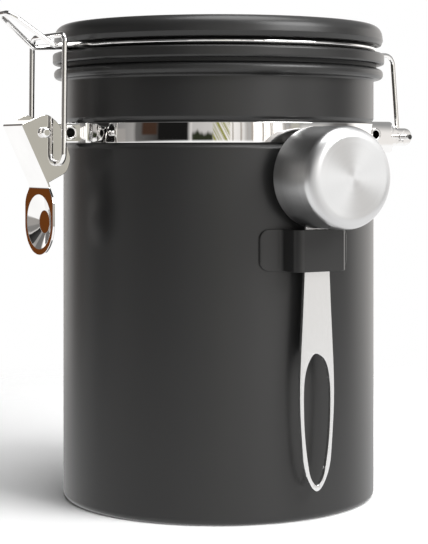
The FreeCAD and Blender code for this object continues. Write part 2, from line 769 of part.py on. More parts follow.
def wire_half():
    loop_points = [
        (vec(-loop_nose_r, 0, loop_nose_z), 0),
        (vec(-loop_nose_r, -loop_nose_half_w, loop_nose_z), loop_nose_bend),
        (vec(-loop_rise_r, -loop_rise_half_w, loop_rise_z), loop_side_bend),
        (vec(-loop_crook_r, -loop_half_w, loop_crook_z), loop_crook_bend),
        (ring_start, 0),
    ]
    leg_points = [
        (ring_end, 0),
        (vec(leg_top_r, -leg_half_w, ring_wire_z), leg_top_bend),
        (vec(hinge_r, -leg_half_w, hinge_z), leg_low_bend),
        (vec(hinge_r, -leg_end_s, hinge_z), 0),
    ]
    return rounded_run(loop_points, False) + ring_edges + rounded_run(leg_points, False)


half_wire = swept_wire(wire_half(), wire_r)
write("lid_wire", half_wire.fuse([mirrored(half_wire)], join_tol).removeSplitter())

# Date dial: fixed base with two number tracks, a day ring and a month ring
dial_bore_r = valve_cap_lip_r + wire_gap
dial_base = turned([
    (dial_bore_r, cap_plateau_z, 0),
    (dial_r, cap_plateau_z, 0),
    (dial_r, dial_top_z + dial_rim_h, dial_rim_w * half * half),
    (dial_r - dial_rim_w, dial_top_z + dial_rim_h, dial_rim_w * half * half),
    (dial_r - dial_rim_w, dial_top_z, 0),
    (channel_outer_r, dial_top_z, 0),
    (channel_outer_r, channel_z, 0),
    (rib_outer_r, channel_z, 0),
    (rib_outer_r, dial_top_z, 0),
    (rib_inner_r, dial_top_z, 0),
    (rib_inner_r, channel_z, 0),
    (channel_inner_r, channel_z, 0),
    (channel_inner_r, dial_top_z, 0),
    (dial_bore_r, dial_top_z, 0),
])
write("dial_base", dial_base)


def dial_ring(inner, outer, pointer_from, pointer_to):
    # Flat ring with a pointer over the number track and grip nubs on its top.
    low_z = channel_z + dial_gap
    top_z = low_z + dial_ring_t
    ring = tube(outer, inner, dial_ring_t, vec(0, 0, low_z))
    pointer_low_z = dial_top_z + dial_gap
    pointer = Part.Face(Part.makePolygon([
        vec(pointer_from, -dial_pointer_half_w, pointer_low_z),
        vec(pointer_to, 0, pointer_low_z),
        vec(pointer_from, dial_pointer_half_w, pointer_low_z),
        vec(pointer_from, -dial_pointer_half_w, pointer_low_z),
    ]))
    ring = ring.fuse(pointer.extrude(vec(0, 0, top_z - pointer_low_z)))
    nub_ring_r = (inner + outer) * half
    for k in range(dial_nubs):
        turn = math.radians((k + 1) * full_turn_deg / (dial_nubs + 1))
        spot = vec(nub_ring_r * math.cos(turn), nub_ring_r * math.sin(turn), top_z)
        ring = ring.fuse(Part.makeCylinder(dial_nub_r, dial_nub_h, spot))
    return ring.removeSplitter()


day_root_r = day_ring_outer_r - dial_gap
month_root_r = month_ring_inner_r + dial_gap
day_tip_r = day_ring_outer_r + dial_pointer_l
month_tip_r = month_ring_inner_r - dial_pointer_l
write("day_ring", dial_ring(day_ring_inner_r, day_ring_outer_r, day_root_r, day_tip_r))
write("month_ring", dial_ring(month_ring_inner_r, month_ring_outer_r, month_root_r, month_tip_r))

# One-way valve: seat, silicone disc, vent cap and filter
valve_seat = Part.makeCylinder(hub_bore_r, valve_seat_t, vec(0, 0, valve_seat_z))
for k in range(valve_ports):
    turn = math.radians(k * full_turn_deg / valve_ports)
    spot = vec(valve_port_ring_r * math.cos(turn), valve_port_ring_r * math.sin(turn), valve_seat_z)
    valve_seat = valve_seat.cut(Part.makeCylinder(valve_port_r, valve_seat_t, spot))
seat_top_z = valve_seat_z + valve_seat_t
disc_low_z = seat_top_z + valve_disc_gap
disc_top_z = disc_low_z + valve_disc_t
guide_top_z = disc_top_z + 2 * valve_lift
valve_seat = valve_seat.fuse(Part.makeCylinder(valve_stem_r, guide_top_z - seat_top_z, vec(0, 0, seat_top_z)))
write("valve_seat", valve_seat.removeSplitter())

valve_disc = tube(valve_disc_r, valve_stem_r + valve_bore_gap, valve_disc_t, vec(0, 0, disc_low_z))
write("valve_disc", valve_disc)

cap_skirt_low_z = seat_top_z
valve_cap = turned([
    (0, valve_cap_top_z - valve_cap_t, 0),
    (valve_cap_r - valve_cap_t, valve_cap_top_z - valve_cap_t, 0),
    (valve_cap_r - valve_cap_t, cap_skirt_low_z, 0),
    (valve_cap_r, cap_skirt_low_z, 0),
    (valve_cap_r, cap_plateau_z, 0),
    (valve_cap_lip_r, cap_plateau_z, 0),
    (valve_cap_lip_r, valve_cap_top_z, valve_cap_t * half),
    (0, valve_cap_top_z, 0),
])
for k in range(valve_vents):
    turn = math.radians(k * full_turn_deg / valve_vents)
    spot = vec(valve_vent_ring_r * math.cos(turn), valve_vent_ring_r * math.sin(turn), cap_plateau_z)
    valve_cap = valve_cap.cut(Part.makeCylinder(valve_vent_r, body_r, spot))
write("valve_cap", valve_cap)

filter_z = liner_low_z + filter_ledge_t
valve_filter = Part.makeCylinder(hub_bore_r, filter_t, vec(0, 0, filter_z))
write("valve_filter", valve_filter)

# Scoop bracket: a hat strap on the canister's side
bracket_mid_r = body_r + bracket_t * half
bracket_mid_s = bracket_half_w - bracket_t * half
bracket_mid_d = bracket_d - bracket_t * half
foot_y, foot_x = ring_join(bracket_mid_r, bracket_mid_s, bracket_foot_bend)
flange_turn = math.asin(bracket_flange_s / bracket_mid_r)


def hat_side(offset):
    # Right half of the strap's outline: flange on the canister, foot bend, web, upper bend and plate.
    ty, tx = on_join(bracket_mid_r, bracket_foot_bend, foot_y, foot_x, offset)
    flange_r = bracket_mid_r + offset
    web_x = bracket_mid_s + offset
    plate_y = -(bracket_mid_d + offset)
    bend_x = bracket_mid_s - bracket_bend
    bend_y = -(bracket_mid_d - bracket_bend)
    flange_end = vec(flange_r * math.sin(flange_turn), -flange_r * math.cos(flange_turn), bracket_low_z)
    foot_in = vec(tx, -ty, bracket_low_z)
    foot_out = vec(web_x, -foot_y, bracket_low_z)
    web_end = vec(web_x, bend_y, bracket_low_z)
    plate_end = vec(bend_x, plate_y, bracket_low_z)
    plate_mid = vec(0, plate_y, bracket_low_z)
    axis_point = vec(0, 0, bracket_low_z)
    foot_centre = vec(foot_x, -foot_y, bracket_low_z)
    bend_centre = vec(bend_x, bend_y, bracket_low_z)
    flange_middle = halfway(axis_point, flange_end, foot_in, flange_r)
    foot_middle = halfway(foot_centre, foot_in, foot_out, bracket_foot_bend - offset)
    bend_middle = halfway(bend_centre, web_end, plate_end, bracket_bend + offset)
    edges = [
        Part.Arc(flange_end, flange_middle, foot_in).toShape(),
        Part.Arc(foot_in, foot_middle, foot_out).toShape(),
        Part.makeLine(foot_out, web_end),
        Part.Arc(web_end, bend_middle, plate_end).toShape(),
        Part.makeLine(plate_end, plate_mid),
    ]
    return flange_end, edges, plate_mid


hat_out_end, hat_out_edges, hat_out_mid = hat_side(bracket_t * half)
hat_in_end, hat_in_edges, hat_in_mid = hat_side(-bracket_t * half)
hat_edges = hat_out_edges + hat_in_edges
hat_edges += [Part.makeLine(hat_out_end, hat_in_end), Part.makeLine(hat_out_mid, hat_in_mid)]
hat_half = Part.Face(Part.Wire(Part.__sortEdges__(hat_edges))).extrude(vec(0, 0, bracket_h))
hat_strap = hat_half.fuse(hat_half.mirror(origin, x_axis)).removeSplitter()
flange_outline = face_of([
    (vec(-bracket_flange_s, 0, bracket_low_z), bracket_corner_r),
    (vec(bracket_flange_s, 0, bracket_low_z), bracket_corner_r),
    (vec(bracket_flange_s, 0, bracket_top_z), bracket_corner_r),
    (vec(-bracket_flange_s, 0, bracket_top_z), bracket_corner_r),
]).extrude(vec(0, -2 * body_r, 0))
scoop_bracket = hat_strap.common(flange_outline)
write("scoop_bracket", scoop_bracket)

# Scoop
mouth_y = -scoop_mouth_d
end_y = mouth_y - scoop_depth
cup_points = [
    (vec(0, mouth_y, scoop_z + scoop_r), scoop_lip_r),
    (vec(0, end_y, scoop_z + scoop_r), scoop_edge_r),
    (vec(0, end_y, scoop_z), 0),
    (vec(0, end_y + scoop_wall, scoop_z), 0),
    (vec(0, end_y + scoop_wall, scoop_z + scoop_r - scoop_wall), scoop_edge_r - scoop_wall),
    (vec(0, mouth_y, scoop_z + scoop_r - scoop_wall), scoop_lip_r),
]
scoop_cup = face_of(cup_points).revolve(vec(0, mouth_y, scoop_z), y_axis, full_turn_deg)
write("scoop_cup", scoop_cup)

handle_tip_z = scoop_z - handle_l
slot_tip_z = handle_tip_z + handle_tip_w
slot_half_w = handle_half_w - handle_limb_w
handle_right = [(w * handle_half_w, handle_tip_z + z * handle_l) for w, z in handle_shares]
slot_right = [(w * slot_half_w, slot_tip_z + z * slot_l) for w, z in slot_shares]
handle_points = [vec(w, mouth_y, z) for w, z in handle_right]
handle_points += [vec(0, mouth_y, handle_tip_z)]
handle_points += [vec(-w, mouth_y, z) for w, z in handle_right[::-1]]
handle_curve = Part.BSplineCurve()
handle_curve.interpolate(handle_points)
handle_wire = Part.Wire([handle_curve.toShape(), Part.makeLine(handle_points[-1], handle_points[0])])
slot_points = [vec(0, mouth_y, slot_tip_z + slot_l)]
slot_points += [vec(w, mouth_y, z) for w, z in slot_right]
slot_points += [vec(0, mouth_y, slot_tip_z)]
slot_points += [vec(-w, mouth_y, z) for w, z in slot_right[::-1]]
slot_curve = Part.BSplineCurve()
slot_curve.interpolate(Points=slot_points, PeriodicFlag=True)
slot_wire = Part.Wire([slot_curve.toShape()])
thick = vec(0, -handle_t, 0)
scoop_handle = Part.Face(handle_wire).extrude(thick).cut(Part.Face(slot_wire).extrude(thick))
cup_core = Part.makeCylinder(scoop_r, scoop_depth, vec(0, mouth_y, scoop_z), front_dir)
scoop_handle = scoop_handle.cut(cup_core)
write("scoop_handle", scoop_handle)
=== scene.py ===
import json
import math

import bmesh
import bpy
from mathutils import Matrix, Vector

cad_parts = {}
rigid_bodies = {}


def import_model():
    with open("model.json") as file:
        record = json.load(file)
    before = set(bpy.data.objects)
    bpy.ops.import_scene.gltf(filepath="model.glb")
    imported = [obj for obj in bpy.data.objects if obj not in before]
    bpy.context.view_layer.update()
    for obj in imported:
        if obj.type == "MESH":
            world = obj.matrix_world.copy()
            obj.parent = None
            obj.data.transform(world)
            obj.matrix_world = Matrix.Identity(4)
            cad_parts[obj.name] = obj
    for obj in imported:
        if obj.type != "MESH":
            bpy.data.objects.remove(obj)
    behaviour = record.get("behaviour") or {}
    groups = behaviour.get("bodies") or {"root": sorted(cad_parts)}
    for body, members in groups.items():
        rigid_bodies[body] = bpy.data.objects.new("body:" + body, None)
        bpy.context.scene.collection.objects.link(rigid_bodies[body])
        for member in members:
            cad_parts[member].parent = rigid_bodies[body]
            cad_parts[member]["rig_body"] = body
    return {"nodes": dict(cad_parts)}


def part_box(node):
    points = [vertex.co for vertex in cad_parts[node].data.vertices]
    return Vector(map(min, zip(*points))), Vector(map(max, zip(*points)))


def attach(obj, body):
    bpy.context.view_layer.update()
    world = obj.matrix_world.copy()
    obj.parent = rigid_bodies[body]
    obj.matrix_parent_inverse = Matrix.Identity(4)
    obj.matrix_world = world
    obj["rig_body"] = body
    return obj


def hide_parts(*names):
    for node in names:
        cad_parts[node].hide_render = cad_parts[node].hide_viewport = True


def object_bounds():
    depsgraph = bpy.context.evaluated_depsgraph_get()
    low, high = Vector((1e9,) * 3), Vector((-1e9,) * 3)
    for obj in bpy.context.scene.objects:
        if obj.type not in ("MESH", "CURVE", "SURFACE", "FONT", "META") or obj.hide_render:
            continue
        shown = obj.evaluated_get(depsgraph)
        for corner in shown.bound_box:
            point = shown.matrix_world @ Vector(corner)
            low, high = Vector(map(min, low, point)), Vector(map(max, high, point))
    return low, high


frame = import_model()
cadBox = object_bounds()
mm = 0.001


# shader maths as plain expressions
class Wire:
    def __init__(self, graph, socket):
        self.graph = graph
        self.socket = socket

    def maths(self, operation, *others):
        return self.graph.node("ShaderNodeMath", {"operation": operation}, dict(enumerate((self, *others))))

    def __add__(self, other):
        return self.maths("ADD", other)

    def __sub__(self, other):
        return self.maths("SUBTRACT", other)

    def __rsub__(self, other):
        return self.maths("MULTIPLY", -1.0).maths("ADD", other)

    def __mul__(self, other):
        return self.maths("MULTIPLY", other)

    def __truediv__(self, other):
        return self.maths("DIVIDE", other)

    def __pow__(self, other):
        return self.maths("POWER", other)

    __radd__ = __add__
    __rmul__ = __mul__

    def rises(self, low, high):  # 0 below low, 1 above high, smooth between
        limits = {"Value": self, "From Min": low, "From Max": high}
        return self.graph.node("ShaderNodeMapRange", {"interpolation_type": "SMOOTHSTEP"}, limits)


class Graph:
    prefix = "ShaderNode"

    def __init__(self, tree):
        self.tree = tree
        tree.nodes.clear()

    def node(self, kind, settings, values, out=0):  # every node is made here
        made = self.tree.nodes.new(kind if "Node" in kind else self.prefix + kind)
        for key, value in settings.items():
            if key == "stops":
                setStops(made.color_ramp, value)
            else:
                setattr(made, key, value)
        for key, value in values.items():
            if isinstance(value, Wire):
                self.tree.links.new(value.socket, made.inputs[key])
            else:
                made.inputs[key].default_value = value
        return Wire(self, made.outputs[out]) if made.outputs else None


class Finish(Graph):
    def __init__(self, owner):
        owner.use_nodes = True
        self.owner = owner
        super().__init__(owner.node_tree)

    def place(self):
        return self.node("TexCoord", {}, {}, "Object")

    def split(self, vector):
        parts = self.node("SeparateXYZ", {}, {"Vector": vector})
        outs = parts.socket.node.outputs
        return [Wire(self, outs[axis]) for axis in range(3)]

    def join(self, x, y, z):
        return self.node("CombineXYZ", {}, {"X": x, "Y": y, "Z": z})

    def noise(self, vector, scale, detail=2.0):
        return self.node("TexNoise", {}, {"Vector": vector, "Scale": scale, "Detail": detail})

    def mix(self, factor, a, b):
        return self.node("Mix", {"data_type": "RGBA"}, {0: factor, 6: a, 7: b}, 2)

    def bump(self, height, distance):
        return self.node("Bump", {}, {"Height": height, "Distance": distance})

    def surface(self, values):
        shader = self.node("BsdfPrincipled", {}, values)
        self.node("OutputMaterial", {}, {"Surface": shader})
        return self.owner


def setStops(ramp, stops):
    while len(ramp.elements) > 1:
        ramp.elements.remove(ramp.elements[-1])
    ramp.elements[0].position = stops[0][0]
    ramp.elements[0].color = stops[0][1]
    for position, colour in stops[1:]:
        ramp.elements.new(position).color = colour


def grey(value, warm=0.0):
    return (value * (1 + warm), value, value * (1 - warm), 1.0)


# finishes: a scale is noise per metre, a spread is how far roughness strays
coatLook = {"dark": 0.020, "light": 0.026, "warm": 0.02, "rough": 0.33, "spread": 0.06, "specular": 0.45,
            "fleckScale": 2600.0, "cloudScale": 60.0, "cloudShare": 0.3, "peel": 0.005 * mm}


def powderCoat():
    f = Finish(bpy.data.materials.new("powderCoat"))
    place = f.place()
    fleck = f.noise(place, coatLook["fleckScale"], 3.0)
    cloud = f.noise(place, coatLook["cloudScale"])
    share = coatLook["cloudShare"]
    tone = f.mix(fleck * (1 - share) + cloud * share, grey(coatLook["dark"]),
                 grey(coatLook["light"], coatLook["warm"]))
    rough = coatLook["rough"] + coatLook["spread"] * (fleck - 0.5)
    return f.surface({"Base Color": tone, "Roughness": rough, "Specular IOR Level": coatLook["specular"],
                      "Normal": f.bump(fleck, coatLook["peel"])})


chromeLook = {"light": 0.90, "lightWarm": 0.008, "dull": 0.80, "dullWarm": 0.012, "rough": 0.035, "spread": 0.05,
              "smearScale": 90.0, "hairScale": (900.0, 900.0, 60.0), "hairShare": 0.4,
              "crown": 0.15 * mm, "bandHalf": 3.7 * mm, "rippleScale": 55.0, "ripple": 0.02, "rippleStretch": 0.2}


def chromeParts(f):
    place = f.place()
    smear = f.noise(place, chromeLook["smearScale"], 4.0)
    hair = f.noise(f.node("Mapping", {}, {"Vector": place, "Scale": chromeLook["hairScale"]}), 1.0)
    tone = f.mix(smear, grey(chromeLook["dull"], chromeLook["dullWarm"]),
                 grey(chromeLook["light"], chromeLook["lightWarm"]))
    share = chromeLook["hairShare"]
    worn = smear.rises(0.45, 0.8) * (1 - share) + hair.rises(0.6, 0.9) * share
    rough = chromeLook["rough"] + chromeLook["spread"] * worn
    return place, {"Base Color": tone, "Roughness": rough, "Metallic": 1.0}


def polishedChrome():
    f = Finish(bpy.data.materials.new("polishedChrome"))
    return f.surface(chromeParts(f)[1])


def crownedChrome():  # the neck band's face swells a little between its edges
    f = Finish(bpy.data.materials.new("crownedChrome"))
    place, values = chromeParts(f)
    x, y, z = f.split(place)
    low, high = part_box("clasp_eyelet")  # at the middle of the band's height
    across = (z - (low.z + high.z) / 2) / chromeLook["bandHalf"]
    stretched = f.join(x, y, z * chromeLook["rippleStretch"])
    ripple = f.noise(stretched, chromeLook["rippleScale"]) * chromeLook["ripple"]
    values["Normal"] = f.bump(1.0 - across * across + ripple, chromeLook["crown"])
    return f.surface(values)


steelLook = {"light": 0.71, "dull": 0.57, "rough": 0.31, "spread": 0.10, "grain": 0.12 * mm, "depth": 0.004 * mm,
             "broadScale": 700.0, "broadShare": 0.4, "still": 2.5 * mm, "dullFan": 0.42, "fanTurn": 62,
             "faceFull": 0.5 * mm, "faceEnd": 3.0 * mm}


def spunSteel():  # turned on a lathe: fine rings round the cup's own axis
    f = Finish(bpy.data.materials.new("spunSteel"))
    low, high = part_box("scoop_cup")
    x, y, z = f.split(f.place())
    up = z - (low.z + high.z) / 2
    out = (x * x + up * up) ** 0.5
    lines = f.noise(f.join(out, y, 0.0), 1 / steelLook["grain"])
    broad = f.noise(f.join(out, y, 0.0), steelLook["broadScale"])
    spread = out.rises(0.0, steelLook["still"])  # the rings die out at the middle of the face
    share = steelLook["broadShare"]
    tone = f.mix(0.5 + spread * (lines * (1 - share) + broad * share - 0.5),
                 grey(steelLook["dull"]), grey(steelLook["light"]))
    # the face is rougher in two fans, which stand in for the way turned rings spread light
    turn = math.radians(2 * steelLook["fanTurn"])
    fan = ((up * up - x * x) * math.cos(turn) + x * up * (2 * math.sin(turn))) / (out * out + mm * mm)
    onFace = 1.0 - y.rises(low.y + steelLook["faceFull"], low.y + steelLook["faceEnd"])
    rough = steelLook["rough"] + steelLook["spread"] * (broad - 0.5)
    rough = rough + onFace * (0.5 + fan * 0.5) * steelLook["dullFan"]
    return f.surface({"Base Color": tone, "Roughness": rough, "Metallic": 1.0,
                      "Normal": f.bump(lines * spread, steelLook["depth"])})


stripLook = {"light": 0.84, "dull": 0.74, "rough": 0.26, "spread": 0.06, "stretch": 0.02, "depth": 0.002 * mm}


def brushedStrip():  # brushed along its length
    f = Finish(bpy.data.materials.new("brushedStrip"))
    x, y, z = f.split(f.place())
    lines = f.noise(f.join(x, y, z * stripLook["stretch"]), 1 / steelLook["grain"])
    tone = f.mix(lines, grey(stripLook["dull"]), grey(stripLook["light"]))
    rough = stripLook["rough"] + stripLook["spread"] * (lines - 0.5)
    return f.surface({"Base Color": tone, "Roughness": rough, "Metallic": 1.0,
                      "Normal": f.bump(lines, stripLook["depth"])})


insideLook = {"light": 0.84, "dull": 0.74, "rough": 0.30, "spread": 0.12, "lineScale": 4000.0, "cloudScale": 40.0,
              "cloudShare": 0.4, "depth": 0.002 * mm}


def drawnSteel():  # bare inside of the canister, with fine rings round the wall
    f = Finish(bpy.data.materials.new("drawnSteel"))
    x, y, z = f.split(f.place())
    out = (x * x + y * y) ** 0.5
    lines = f.noise(f.join(z, out, 0.0), insideLook["lineScale"])
    cloud = f.noise(f.place(), insideLook["cloudScale"])
    share = insideLook["cloudShare"]
    tone = f.mix(lines * (1 - share) + cloud * share, grey(insideLook["dull"]), grey(insideLook["light"]))
    rough = insideLook["rough"] + insideLook["spread"] * (cloud - 0.5)
    return f.surface({"Base Color": tone, "Roughness": rough, "Metallic": 1.0,
                      "Normal": f.bump(lines, insideLook["depth"])})


plasticLook = {"grainScale": 3200.0, "cloudScale": 70.0, "spread": 0.08, "depth": 0.004 * mm}


def mattePlastic(name, dark, light, rough):
    f = Finish(bpy.data.materials.new(name))
    place = f.place()
    grain = f.noise(place, plasticLook["grainScale"])
    cloud = f.noise(place, plasticLook["cloudScale"])
    tone = f.mix(grain * 0.5 + cloud * 0.5, grey(dark), grey(light))
    return f.surface({"Base Color": tone, "Roughness": rough + plasticLook["spread"] * (cloud - 0.5),
                      "Normal": f.bump(grain, plasticLook["depth"])})


paperLook = {"dark": grey(0.55, 0.05), "light": grey(0.78, 0.03), "fibreScale": 1500.0, "rough": 0.9,
             "depth": 0.03 * mm}


def filterPaper():
    f = Finish(bpy.data.materials.new("filterPaper"))
    fibre = f.noise(f.place(), paperLook["fibreScale"], 6.0)
    tone = f.mix(fibre.rises(0.3, 0.7), paperLook["dark"], paperLook["light"])
    return f.surface({"Base Color": tone, "Roughness": paperLook["rough"],
                      "Normal": f.bump(fibre, paperLook["depth"])})


# near-black tones of painted shade and painted dark reflection, not the steel's own colour
paintedShadeLook = {"dark": grey(0.006, 0.1), "light": grey(0.018, 0.1), "pitScale": 2200.0, "rough": 0.62, "spread": 0.1,
           "depth": 0.01 * mm}


def paintedShadeSteel():  # painted shade: near-black inside the tubular rivets' bores, and a painted dark reflection on the wire's cut ends
    f = Finish(bpy.data.materials.new("paintedShadeSteel"))
    pits = f.noise(f.place(), paintedShadeLook["pitScale"], 3.0)
    tone = f.mix(pits, paintedShadeLook["dark"], paintedShadeLook["light"])
    return f.surface({"Base Color": tone, "Roughness": paintedShadeLook["rough"] + paintedShadeLook["spread"] * (pits - 0.5),
                      "Normal": f.bump(pits, paintedShadeLook["depth"])})


coat = powderCoat()
chrome = polishedChrome()
bandChrome = crownedChrome()
spun = spunSteel()
strip = brushedStrip()
inside = drawnSteel()
rubber = mattePlastic("sealRubber", 0.010, 0.016, 0.55)
linerGrey = mattePlastic("linerPlastic", 0.030, 0.040, 0.45)
dialBlack = mattePlastic("dialPlastic", 0.014, 0.020, 0.42)
ringGrey = mattePlastic("ringPlastic", 0.16, 0.20, 0.38)
numberWhite = mattePlastic("numberInk", 0.70, 0.78, 0.5)
paper = filterPaper()
paintedShade = paintedShadeSteel()
print("finishes:", len(bpy.data.materials))


# meshes taken from the frame
meshCare = {"merge": 0.002 * mm, "flat": math.radians(0.3), "sharp": math.radians(32), "steps": 2,
            "straight": 0.0005 * mm, "boreLean": 0.7, "endCorners": 8}


def merged(node):
    bm = bmesh.new()
    bm.from_mesh(frame["nodes"][node].data)
    bmesh.ops.remove_doubles(bm, verts=bm.verts, dist=meshCare["merge"])
    return bm


def finished(bm, name, finishes, crease=meshCare["sharp"]):
    mesh = bpy.data.meshes.new(name)
    bm.to_mesh(mesh)
    bm.free()
    for finish in finishes:
        mesh.materials.append(finish)
    mesh.shade_smooth()
    mesh.set_sharp_from_angle(angle=crease)
    obj = bpy.data.objects.new(name, mesh)
    bpy.context.scene.collection.objects.link(obj)
    weigh = obj.modifiers.new("evenNormals", "WEIGHTED_NORMAL")
    weigh.keep_sharp = True
    return settled(obj)


def settled(obj):  # modifiers become plain mesh
    ready = obj.evaluated_get(bpy.context.evaluated_depsgraph_get())
    mesh = bpy.data.meshes.new_from_object(ready)
    obj.modifiers.clear()
    obj.data = mesh
    return obj


def seat(obj, node):
    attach(obj, frame["nodes"][node]["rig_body"])
    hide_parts(node)
    return obj


def sheetPiece(node, finishes, edge=0.0, second=None, crease=meshCare["sharp"]):
    bm = merged(node)  # the frame's own shape, with its edges broken
    bmesh.ops.dissolve_limit(bm, angle_limit=meshCare["flat"], verts=bm.verts, edges=bm.edges)
    if second:
        for face in bm.faces:
            face.material_index = int(second(face))
    if edge:
        hard = [e for e in bm.edges if e.is_manifold and e.calc_face_angle() > crease]
        bmesh.ops.bevel(bm, geom=hard, offset=edge, offset_type="OFFSET", segments=meshCare["steps"],
                        profile=0.5, affect="EDGES", clamp_overlap=False, material=0)
    bmesh.ops.triangulate(bm, faces=[f for f in bm.faces if len(f.verts) > 4])
    return seat(finished(bm, node + "Look", finishes, crease), node)


def boreOf(node):  # test for the faces inside a rivet's bore
    low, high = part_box(node)
    middle = (low + high) / 2

    def inBore(face):
        spot = face.calc_center_median()
        inwards = Vector((middle.x - spot.x, 0, middle.z - spot.z)).normalized()
        return face.normal.dot(inwards) > meshCare["boreLean"]
    return inBore


def cutEnd(face):  # a wire's ends are its only faces with many corners
    return len(face.verts) > meshCare["endCorners"]


def sectionOf(node, toAxis):  # a turned piece's outline in its half plane: (radius, height) points in order
    bm = merged(node)
    bm.transform(toAxis)
    cut = bmesh.ops.bisect_plane(bm, geom=bm.verts[:] + bm.edges[:] + bm.faces[:], dist=meshCare["merge"],
                                 plane_co=(0, 0, 0), plane_no=(0, 1, 0), clear_outer=True)["geom_cut"]
    near = {}
    for edge in [e for e in cut if isinstance(e, bmesh.types.BMEdge)]:
        a, b = sorted(edge.verts, key=lambda v: v.co.x)
        if b.co.x < meshCare["merge"]:
            continue
        if a.co.x < -meshCare["merge"]:  # a flat end with no point on the axis
            a = bm.verts.new(a.co.lerp(b.co, a.co.x / (a.co.x - b.co.x)))
        near.setdefault(a, []).append(b)
        near.setdefault(b, []).append(a)
    ends = [v for v, others in near.items() if len(others) == 1]
    at = min(ends, key=lambda v: v.co.z) if ends else min(near, key=lambda v: (v.co.z, v.co.x))
    path, before = [at], None
    while True:
        ahead = [v for v in near[path[-1]] if v is not before and v is not at]
        if not ahead:
            break
        before = path[-1]
        path.append(ahead[0])
    points = [(v.co.x, v.co.z) for v in path]
    closed = not ends
    bm.free()
    return straightened(points, closed), closed


def straightened(points, closed):  # drops points in the middle of straight stretches
    kept = []
    count = len(points)
    for i, (x, z) in enumerate(points):
        if not closed and i in (0, count - 1):
            kept.append((x, z))
            continue
        ax, az = points[i - 1]
        bx, bz = points[(i + 1) % count]
        area = abs((x - ax) * (bz - az) - (z - az) * (bx - ax))
        if area > meshCare["straight"] * math.hypot(bx - ax, bz - az):
            kept.append((x, z))
    return kept


def turnedPiece(node, finishes, steps, toAxis=Matrix.Identity(4), innerSide=None, outline=None):
    points, closed = outline or sectionOf(node, toAxis)
    bm = bmesh.new()
    rings = []
    for r, z in points:
        if r < meshCare["merge"]:
            rings.append([bm.verts.new((0, 0, z))])
        else:
            turns = [2 * math.pi * k / steps for k in range(steps)]
            rings.append([bm.verts.new((r * math.cos(t), r * math.sin(t), z)) for t in turns])
    pairs = list(zip(rings, rings[1:])) + ([(rings[-1], rings[0])] if closed else [])
    for low, high in pairs:
        for k in range(steps):
            corners = [low[k % len(low)], low[(k + 1) % len(low)],
                       high[(k + 1) % len(high)], high[k % len(high)]]
            bm.faces.new(list(dict.fromkeys(corners)))  # three corners where a ring is a point
    bmesh.ops.recalc_face_normals(bm, faces=bm.faces)
    if innerSide:
        for face in bm.faces:
            face.material_index = int(innerSide(face))
    bm.transform(toAxis.inverted())
    return seat(finished(bm, node + "Look", finishes), node)


# the canister and its lid
canisterLook = {"turns": 240, "dialTurns": 200, "leansIn": 0.2, "facesUp": 0.3, "floorBelow": 20 * mm}


def facesInside(face):  # the bare wall, and the floor of the canister
    spot = face.calc_center_median()
    outwards = Vector((spot.x, spot.y, 0)).normalized()
    onFloor = face.normal.z > canisterLook["facesUp"] and spot.z < canisterLook["floorBelow"]
    return onFloor or face.normal.dot(outwards) < -canisterLook["leansIn"]


turnedPiece("canister_body", [coat, inside], canisterLook["turns"], innerSide=facesInside)
turnedPiece("lid_cap", [coat], canisterLook["turns"])
turnedPiece("lid_pan", [coat], canisterLook["turns"])
turnedPiece("lid_gasket", [rubber], canisterLook["turns"])
turnedPiece("dial_base", [dialBlack], canisterLook["dialTurns"])
sheetPiece("lid_liner", [linerGrey])
print("canister and lid turned")

# scoop: the cup is turned round an axis that runs along Y
cupLow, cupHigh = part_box("scoop_cup")
cupAxis = Vector((0, cupHigh.y, (cupLow.z + cupHigh.z) / 2))
cupFrame = Matrix.Rotation(math.radians(90), 4, "X") @ Matrix.Translation(-cupAxis)
cupLook = {"shoulder": 4.2 * mm, "edge": 4.4 * mm, "wall": 0.9 * mm, "lip": 0.35 * mm, "steps": 24, "turns": 160}


def cupOutline():  # pressed from sheet: the face runs into the side by a quarter ellipse, tighter at the side
    wide = cupHigh.x
    deep = cupHigh.y - cupLow.y
    wall, lip = cupLook["wall"], cupLook["lip"]

    def corner(inset):
        flat = wide - cupLook["shoulder"]
        across = cupLook["shoulder"] - inset
        along = cupLook["edge"] - inset
        turns = [math.pi / 2 * k / cupLook["steps"] for k in range(cupLook["steps"] + 1)]
        return [(flat + across * math.sin(t), cupLook["edge"] - deep - along * math.cos(t)) for t in turns]
    rim = [(wide, -lip), (wide - lip, 0.0), (wide - wall + lip, 0.0), (wide - wall, -lip)]
    return [(0.0, -deep)] + corner(0.0) + rim + corner(wall)[::-1] + [(0.0, wall - deep)], False


turnedPiece("scoop_cup", [spun], cupLook["turns"], toAxis=cupFrame, outline=cupOutline())
stripEdges = {"scoop_handle": 0.16 * mm, "scoop_bracket": 0.3 * mm}
sheetPiece("scoop_handle", [strip], stripEdges["scoop_handle"])
sheetPiece("scoop_bracket", [coat], stripEdges["scoop_bracket"])
print("scoop and bracket")

# clasp, hinge and wires
claspLook = {"bandEdge": 0.26 * mm, "leverEdge": 0.14 * mm, "leverCrease": math.radians(15), "rivetEdge": 0.14 * mm}
for node in ("neck_band_front", "neck_band_rear"):
    sheetPiece(node, [bandChrome], claspLook["bandEdge"])
sheetPiece("clasp_lever", [chrome], claspLook["leverEdge"], crease=claspLook["leverCrease"])
# the second finish is painted shade, near-black inside each rivet's bore
for node in ("clasp_eyelet", "hinge_eyelet"):
    sheetPiece(node, [chrome, paintedShade], claspLook["rivetEdge"], boreOf(node))
# the second finish is a painted dark reflection, near-black on each wire's cut end
for node in ("clasp_bail", "lid_wire"):
    sheetPiece(node, [chrome, paintedShade], second=cutEnd)
sheetPiece("clasp_pivot_pin", [chrome])
print("clasp and hinge")

